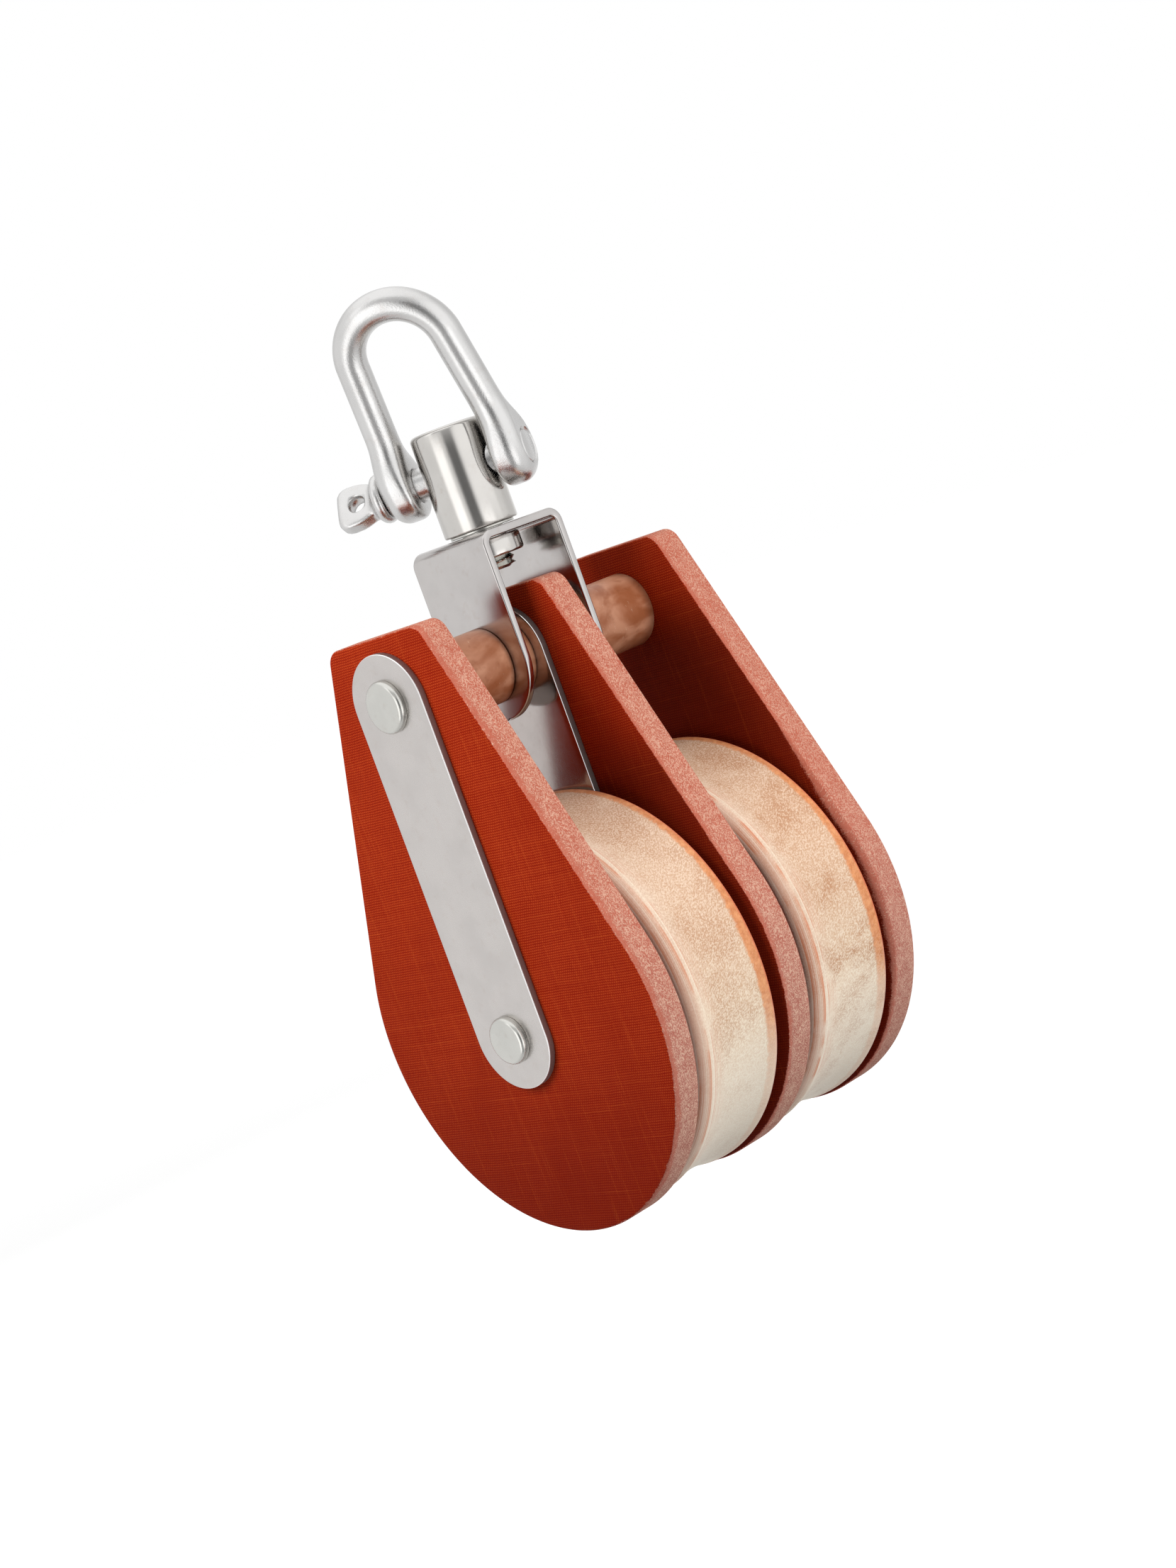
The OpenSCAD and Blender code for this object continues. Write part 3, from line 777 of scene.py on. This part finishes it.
def sheave_finish(name, middle, tan):
    """Cream turned laminate for a sheave whose middle lies at x = middle; tan is how brown its clouds are.

    low runs from 0 near the sheave's top to 1 near its foot; painted light makes the foot paler, painted shade
    the top darker.
    """
    f = Finish(name)
    x, y, z = f.parts(f.moved((AXLE[0] + middle, AXLE[1], AXLE[2])))
    radius = (y * y + z * z).math("SQRT")
    low = z.step(-34, 26, 1.0, 0.0)
    speck = f.noise(0.30, 3, 0.62)
    strokes = f.noise(1, 2, 0.6, on=f.vector((x * 0.75 + z * 0.66) * 2.0, (z * 0.75 - x * 0.66) * 4.6, y * 3.4))
    grain = f.noise(1.1, 3, 0.65)
    cloud = f.noise(11, 3, 0.6, distortion=0.4)
    spots = f.noise(2.2, 3, 0.7)
    fibre = speck * 0.45 + strokes * 0.55
    colour = f.mix(fibre.step(0.36, 0.64), srgb(218, 190, 160), srgb(240, 227, 207))
    peach = f.mix(fibre.step(0.40, 0.60), srgb(206, 164, 136), srgb(228, 198, 174))
    # painted shade and light: more peach towards the top, paler towards the foot
    colour = f.mix(low.step(0.0, 0.7, 0.6, 0.0), colour, peach)
    colour = f.mix(low.step(0.5, 1.0, 0.0, 0.5), colour, srgb(246, 240, 226))
    brown = (cloud * 0.8 + spots * 0.2).step(0.42, 0.60) * fibre.step(0.42, 0.58, 1.0, 0.25)
    # the brown clouds are real, and fade towards the foot under the painted light there
    brown = brown * low.step(0.55, 0.95, 1.0, 0.35)
    colour = f.mix(brown * tan, colour, srgb(170, 112, 72))
    # the tan differs from wheel to wheel, and painted shade makes it stronger towards the top
    tan_and_top_shade = low.step(0.30, 0.85, 0.70, 0.0) * fibre.step(0.42, 0.58, 1.0, 0.35) * tan
    colour = f.mix(tan_and_top_shade, colour, srgb(194, 148, 114))
    to_left = x.step(-2.0, -8.0)
    lines = f.noise(1, 2, 0.6, on=f.vector(x * 3.4 + radius * 1.2, cloud * 0.5, 0.0))
    tooled = lines.step(0.50, 0.58) * to_left * f.noise(9, 2).step(0.38, 0.55)
    colour = f.mix(to_left * 0.45, colour, srgb(238, 222, 202))
    colour = f.mix(x.step(-6.8, -9.4) * 0.42, colour, srgb(222, 146, 118))
    colour = f.mix(tooled * (tan * 0.4 + 0.4), colour, srgb(206, 118, 76))
    colour = f.mix(lines.step(0.42, 0.34) * to_left * 0.5, colour, srgb(246, 236, 220))
    teeth = x + (speck - 0.5) * 1.3 + (grain - 0.5) * 0.9 - low.step(0.0, 0.3, 0.7, 0.0)
    # the orange band is real, and fades towards the foot under the painted light there
    band = teeth.step(7.1, 7.7) * low.step(0.50, 0.95, 1.0, 0.25)
    orange = f.mix(grain.step(0.3, 0.7), srgb(196, 112, 58), srgb(222, 150, 98))
    colour = f.mix(band * 0.85, colour, orange)
    rim = (x + (speck - 0.5) * 0.35).step(9.15, 9.4)
    # painted light: the pink rim is paler towards the foot
    pink = f.mix(low.step(0.5, 0.9), srgb(204, 104, 78), srgb(222, 174, 160))
    colour = f.mix(rim * 0.75, colour, pink)
    wall = x.math("ABSOLUTE").step(SHEAVE_HALF - 0.16, SHEAVE_HALF - 0.04)
    rings = f.noise(1, 2, 0.6, on=f.vector(radius * 1.9, cloud * 0.4, 0.0))
    facing = f.mix(speck.step(0.3, 0.7), srgb(224, 190, 164), srgb(246, 230, 212))
    facing = f.mix(rings.step(0.54, 0.60) * 0.55, facing, srgb(212, 116, 76))
    colour = f.mix(wall, colour, facing)
    relief = f.bump(fibre * 0.7 + lines * 0.3, 0.03)
    return f.done(Base_Color=colour, Roughness=grain * 0.18 + 0.42, Normal=relief, Specular_IOR_Level=0.25)


# %% make the sheaves
SHEAVE_R, SHEAVE_BORE_R = 37.75, 6.0
RIM, GROOVE_DEEP = 1.0, 1.2
WORN_IN, WORN_DOWN, WORN_OFF = 2.8, 2.6, 0.25


def wheel_profile():
    """A sheave's section about its middle: left wall, worn left rim, groove, sharp right rim, right wall.

    The groove is an arc of radius r = (h^2 + d^2) / (2 d), for a half-width h and a depth d. The worn rim is
    a quarter of an ellipse, kept only as far as it lies under the groove's arc.
    """
    half_groove = SHEAVE_HALF - RIM
    arc_r = (half_groove ** 2 + GROOVE_DEEP ** 2) / (2 * GROOVE_DEEP)

    def groove_floor(x):
        return arc_r + SHEAVE_R - GROOVE_DEEP - np.sqrt(arc_r ** 2 - x ** 2)

    across = np.linspace(-half_groove, half_groove, 49)
    groove = np.stack([groove_floor(across), across], -1)
    wall = np.stack([np.linspace(SHEAVE_BORE_R, SHEAVE_R - 3.0, 12), np.full(12, -SHEAVE_HALF)], -1)
    a = np.linspace(0, np.pi / 2, 16)
    worn_r = SHEAVE_R - WORN_OFF - WORN_DOWN * (1 - np.sin(a))
    worn_x = -SHEAVE_HALF + WORN_IN * (1 - np.cos(a))
    below = worn_r < groove_floor(np.clip(worn_x, -half_groove, half_groove))
    worn = np.stack([worn_r, worn_x], -1)[below]
    groove = groove[groove[:, 1] > worn[-1, 1] + 0.3]
    corners = [(SHEAVE_R, half_groove), (SHEAVE_R, SHEAVE_HALF), (SHEAVE_BORE_R, SHEAVE_HALF)]
    sharp = rounded(corners, [0, 0.35, 0])[1:-1]
    return np.vstack([wall, worn, groove, sharp, wall[::-1] * [1, -1]])


for hand, tan in (("left", 0.45), ("right", 0.85)):
    wheel = hand + "_sheave"
    middle = sum(reach(wheel)) / 2
    laminate = sheave_finish(wheel + "_laminate", middle, tan)
    turned(wheel + "_wheel", wheel_profile() + [0, middle], laminate, wheel, [wheel], AXLE, steps=360)

# %% [markdown]
# ## The yoke
# The yoke is a strip of bright sheet bent to a channel, with its two legs rounded at the bottom. It is
# laid out flat first, with round ends. Each of its points has a distance s along the strip. Bending
# carries s round the channel's path, and the sheet's thickness goes along the path's normal.

# %% make the yoke


def bent_strip(half_out, top, thick, bend, width):
    """Points of a strip with round ends, bent over twice, in mm from the head pin's middle.

    Rows run along the strip, columns round its section. half_out is half the channel's outer width, top the
    height of its outer top, bend the outer radius of its two bends.
    """
    r_mid = bend - thick / 2
    flat_half = half_out - bend
    leg = top - bend
    arc = r_mid * np.pi / 2
    end = flat_half + arc + leg
    radius = width / 2
    round_part = radius * np.cos(np.linspace(0.06, np.pi / 2, 40))
    s = np.concatenate([end + round_part, np.linspace(end, flat_half + arc, 24)[1:],
                        np.linspace(flat_half + arc, flat_half, 14)[1:], np.linspace(flat_half, 0, 6)[1:]])
    s = np.concatenate([s, -s[::-1][1:]])
    beyond = np.clip(np.abs(s) - end, 0, radius)
    half_width = np.sqrt(radius ** 2 - beyond ** 2)
    lean = np.arcsin(beyond / radius) * np.sign(s)
    edge = 0.45
    a = np.linspace(0, np.pi / 2, 6)
    inset = np.concatenate([edge * (1 - np.sin(a)), edge * (1 - np.sin(a[::-1]))])
    height = np.concatenate([thick / 2 - edge * (1 - np.cos(a)), -(thick / 2 - edge * (1 - np.cos(a[::-1])))])
    faces = np.linspace(1, -1, 14)[1:-1]
    section = ([(1, i, h) for i, h in zip(inset, height)] + [(t, edge, -thick / 2) for t in faces]
               + [(-1, i, h) for i, h in zip(inset[::-1], height[::-1])]
               + [(t, edge, thick / 2) for t in faces[::-1]])
    along, side, out = [], [], []
    for t, i, h in section:
        along.append(s - i * np.sin(lean) * abs(t))
        side.append(t * np.maximum(half_width - i * np.cos(lean), 0))
        out.append(np.full(len(s), h))
    along, side, out = [np.array(v).T for v in (along, side, out)]
    sign = np.sign(along)
    d = np.abs(along)
    turn = np.clip((d - flat_half) / r_mid, 0, np.pi / 2)
    down = np.clip(d - flat_half - arc, 0, None)
    over = np.minimum(d, flat_half)
    x = sign * (over + (r_mid + out) * np.sin(turn))
    z = top - bend + (r_mid + out) * np.cos(turn) - down
    straight = d <= flat_half
    z = np.where(straight, top - thick / 2 + out, z)
    return np.stack([x, side, z], -1)


channel = bent_strip(half_out=10.15, top=23.6, thick=1.6, bend=2.8, width=21.7)
skin("yoke_strip", channel + HEAD_PIN, yoke_steel, "yoke", ["yoke"], crease=34)

# %% [markdown]
# ## The swivel
# A turned barrel stands on the yoke, and a screw stud holds it from below with a round nut. Only the tail
# of the thread shows, so only the tail gets one: its radius is r - depth * ridge, where the ridge climbs
# one pitch in each turn.

# %% make the swivel
STUD_R, PITCH, THREAD_DEEP = 4.0, 1.25, 0.65
BARREL_R, BARREL_TALL, BARREL_FOOT = 7.15, 19.8, -11.4
FOOT_R, FOOT_THICK = 6.2, 0.5
NUT_R, NUT_TALL, NUT_TOP = 6.3, 3.6, -13.74
STUD_BELOW, STUD_LONG = 6.0, 15.3
CROSS_R = 3.2


def swivel_part(name, node, profile, finish, foot, steps, **more):
    """A piece turned about the swivel's upright line, its foot that far above the shackle pin's middle."""
    place = SHACKLE_PIN + [0, 0, foot]
    return turned(name, profile, finish, "swivel_post", [node], place, steps=steps, line=(0, 0, 1), **more)


def ring_section(radius, tall, low_edge, high_edge):
    """The section of a ring round the stud, with its lower and upper outer corners rounded."""
    return rounded([(STUD_R, 0), (radius, 0), (radius, tall), (STUD_R, tall)], [0, low_edge, high_edge, 0])


def thread(radius, along, t):
    """Cuts the thread below the nut: a triangle wave in (height / pitch - angle / turn)."""
    phase = (along / PITCH - t[None, :] / (2 * np.pi)) % 1
    ridge = np.abs(phase * 2 - 1)
    tail = np.clip((3.2 - along) / 0.6, 0, 1) * np.clip(along / 0.5, 0, 1)
    return np.where(radius > STUD_R / 2, radius - THREAD_DEEP * ridge * tail, radius), along


corners = [(STUD_R, 0), (BARREL_R, 0), (BARREL_R, BARREL_TALL), (POLE, BARREL_TALL)]
barrel = swivel_part("barrel_body", "swivel_barrel", rounded(corners, [0, 0.35, 0.8, 0]), barrel_steel,
                     BARREL_FOOT, 180, ends="closed")
drill(barrel, sheet_mesh("cross_bore", turned_grid([(CROSS_R, -9), (CROSS_R, 9)], SHACKLE_PIN, 72, ACROSS)))
swivel_part("foot_washer", "swivel_washer", ring_section(FOOT_R, FOOT_THICK, 0.1, 0.1), pin_steel,
            BARREL_FOOT - FOOT_THICK, 96)
swivel_part("round_nut", "swivel_nut", ring_section(NUT_R, NUT_TALL, 0.5, 0.4), barrel_steel,
            NUT_TOP - NUT_TALL, 120)
screw = np.stack([np.full(60, STUD_R), np.linspace(0.35, 3.6, 60)], -1)
screw[:3, 0] = [3.3, 3.6, 3.85]
stud_profile = np.vstack([[(POLE, 0), (2.6, 0)], screw, [(STUD_R, STUD_LONG - 0.1), (POLE, STUD_LONG)]])
swivel_part("stud_screw", "swivel_stud", stud_profile, pin_steel, NUT_TOP - STUD_BELOW, 120,
            ends="closed", crease=60, ripple=thread)

# %% [markdown]
# ## The shackle
# The bow is forged from round bar, and its ends are flattened into eyes. A rod with two discs stuck on
# would show a crease where they meet. Here the whole bow is one section carried along one path, and the
# section itself changes: a circle on the rod, which widens into the eye. Each half of a section is a
# superellipse, |x / a|^p + |n / b|^p = 1, with its half-width b following the eye's outline. The half that
# faces the jaw is nearly square, the outer half is a dome with a flat filed on it.

# %% make the bow
EYE_R, EYE_HALF, EYE_AT, EYE_DOME = 6.2, 3.2, 11.4, 3.9
LEG_FOOT = EYE_AT + 0.25
ROD_R, CROWN_R, CROWN_UP = 3.1, 9.6, 24.4
BOW_LEAN, TAB_TURN = math.radians(19), math.radians(-35)
ACROSS_Y = np.array([-ACROSS[1], ACROSS[0], 0])


def leaning(angle):
    """The outward and upward directions of a piece that leans by that angle about the pin."""
    lean_up = math.cos(angle) * np.array([0, 0, 1.0]) - math.sin(angle) * ACROSS_Y
    return np.cross(ACROSS, lean_up), lean_up


BOW_OUT, BOW_UP = leaning(BOW_LEAN)
JAW = -(CROWN_UP + CROWN_R - ROD_R) * BOW_UP
print("the middle of the jaw, mm:", JAW.round(2))


def smooth(t):
    """From 0 to 1 with no kink in slope or in bend, so that no line shows where a taper begins."""
    t = np.clip(t, 0, 1)
    return t ** 3 * (6 * t * t - 15 * t + 10)


def hung(local, out, up):
    """Points given along the pin, outward and upward from the middle of the jaw, in the model's frame."""
    return JAW + local[..., :1] * ACROSS + local[..., 1:2] * out + local[..., 2:] * up


def bow_grid(columns=144):
    """Sections of the bow from the foot of one eye over the crown to the foot of the other.

    Each row is one section at a height on the leg, or at an angle on the crown. The round crown meets the
    leg where both lean outwards by the same angle, the splay.
    """
    splay = math.acos(CROWN_R / math.hypot(LEG_FOOT, CROWN_UP)) - math.atan2(CROWN_UP, LEG_FOOT)
    foot = -EYE_R * np.cos(np.linspace(0.05, np.pi / 2, 24))
    leg_top = CROWN_UP + CROWN_R * math.sin(splay)
    height = np.concatenate([foot, np.linspace(0, leg_top, 46)[1:]])[:, None]
    crown = np.linspace(splay, np.pi / 2, 34)[1:]
    flare = smooth(height / 13)
    leg_x = CROWN_R * math.cos(splay) + (leg_top - height) * math.tan(splay)
    centre_x = EYE_AT + (leg_x - EYE_AT) * smooth(height / 11)
    narrow = ROD_R + (EYE_R - ROD_R) * (1 - smooth(height / 12.5))
    b = np.where(height < 0, np.sqrt(np.clip(EYE_R ** 2 - height ** 2, 0, None)), narrow)
    t = np.linspace(0, 2 * np.pi, columns, endpoint=False)[None, :]
    c, s = np.cos(t), np.sin(t)
    outward = c > 0
    power = np.where(outward, 2.2 - 0.2 * flare, 6 - 4 * smooth((height + 3) / 13))
    dome = np.where(outward, EYE_DOME + (ROD_R - EYE_DOME) * flare, EYE_HALF + (ROD_R - EYE_HALF) * flare)
    reach_out = (np.abs(c) ** power + np.abs(s) ** power) ** (-1 / power)
    n = b * s * reach_out
    rho = np.clip(np.sqrt(n ** 2 + height ** 2) / EYE_R, 0, 1)
    x = np.where(height < 0, dome * (1 - rho ** power) ** (1 / power), dome * np.abs(c) * reach_out)
    x = np.sign(c) * np.minimum(x, EYE_HALF)
    left = np.stack([-(centre_x + x), n, np.repeat(height, columns, 1)], -1)
    radius = CROWN_R + ROD_R * c
    arch = np.stack([-radius * np.cos(crown)[:, None], np.repeat(ROD_R * s, len(crown), 0),
                     CROWN_UP + radius * np.sin(crown)[:, None]], -1)
    half = np.concatenate([left, arch])
    other = half[::-1][1:] * [-1, 1, 1]
    return np.concatenate([half, other])


bow = skin("bow_forging", hung(bow_grid(), BOW_OUT, BOW_UP), bow_steel, "shackle", ["shackle_bow"], crease=42)
eye_bore = [(3.85, -17), (3.7, -14.6), (CROSS_R, -14.1), (CROSS_R, -8.5), (3.5, -8.2)]
eye_bore = np.array(eye_bore + [(r, -x) for r, x in eye_bore[::-1]])
drill(bow, sheet_mesh("eye_bore", turned_grid(eye_bore, JAW, 96, ACROSS)), crease=42)

# %% [markdown]
# ## The shackle's pin
# The pin is one forging too: a shank, a round collar and a flat tab that fingers can turn. Its sections
# run along the pin, and each is again a superellipse, round at the collar and nearly square at the tab.

# %% make the pin
PIN_OUT, PIN_UP = leaning(TAB_TURN)
TAB_END, COLLAR, PIN_END = -25.12, -14.72, 14.6
HEAD_SECTIONS = [
    (0, 2.3, 0.6, 4), (0.08, 2.9, 1.0, 4), (0.3, 3.5, 1.35, 4.5), (0.8, 4.05, 1.55, 5), (1.5, 4.36, 1.6, 6),
    (2.4, 4.5, 1.6, 7), (4.3, 4.42, 1.6, 7), (5.4, 4.22, 1.6, 6.5), (6.3, 3.9, 1.62, 6), (6.9, 3.68, 1.72, 5),
    (7.35, 3.55, 2.0, 3.8), (7.7, 3.62, 2.55, 2.8), (8.0, 3.9, 3.35, 2.2), (8.3, 4.3, 4.12, 2),
    (8.65, 4.6, 4.56, 2), (9.1, 4.77, 4.77, 2), (9.55, 4.8, 4.8, 2), (9.95, 4.68, 4.68, 2),
    (10.25, 4.42, 4.42, 2)]


def pin_grid(columns=96):
    """Sections of the pin from the tab's end to the shank's end.

    Each row of the table is the distance from the tab's end, the half-height, the half-thickness and the
    power of the superellipse.
    """
    shank = [(COLLAR, 4.1), (COLLAR, 3.15), (PIN_END - 0.4, 3.15), (PIN_END - 0.1, 2.92), (PIN_END, 2.7)]
    s = np.array([(TAB_END + at, *rest) for at, *rest in HEAD_SECTIONS] + [(x, r, r, 2) for x, r in shank])
    t = np.linspace(0, 2 * np.pi, columns, endpoint=False)
    c, q = np.cos(t), np.sin(t)
    p = s[:, 3:4]
    up = s[:, 1:2] * np.sign(c) * np.abs(c) ** (2 / p)
    out = s[:, 2:3] * np.sign(q) * np.abs(q) ** (2 / p)
    return np.stack([np.repeat(s[:, :1], columns, 1), out, up], -1)


pin = skin("pin_forging", hung(pin_grid(), PIN_OUT, PIN_UP), bow_steel, "shackle_pin", ["shackle_pin"], crease=50)
tab_bore = np.array([(2.2, -3), (1.95, -1.62), (1.7, -1.35), (1.7, 1.35), (1.95, 1.62), (2.2, 3)])
tab_hole = turned_grid(tab_bore, JAW + (TAB_END + 4.3) * ACROSS, 64, PIN_OUT)
drill(pin, sheet_mesh("tab_bore", tab_hole), crease=50)

# %% [markdown]
# ## What stays as the model made it
# The bushes are hidden inside the sheaves, so their CAD solids stay and only get a finish.

# %% bushes
bronze = steel("turned_bronze", (176, 124, 66), 0.35, 0.1, 0.3, 0.002, stain=0.1)
for node in ("left_bush", "right_bush"):
    thing = frame["nodes"][node]
    for slot in thing.material_slots:
        slot.material = bronze
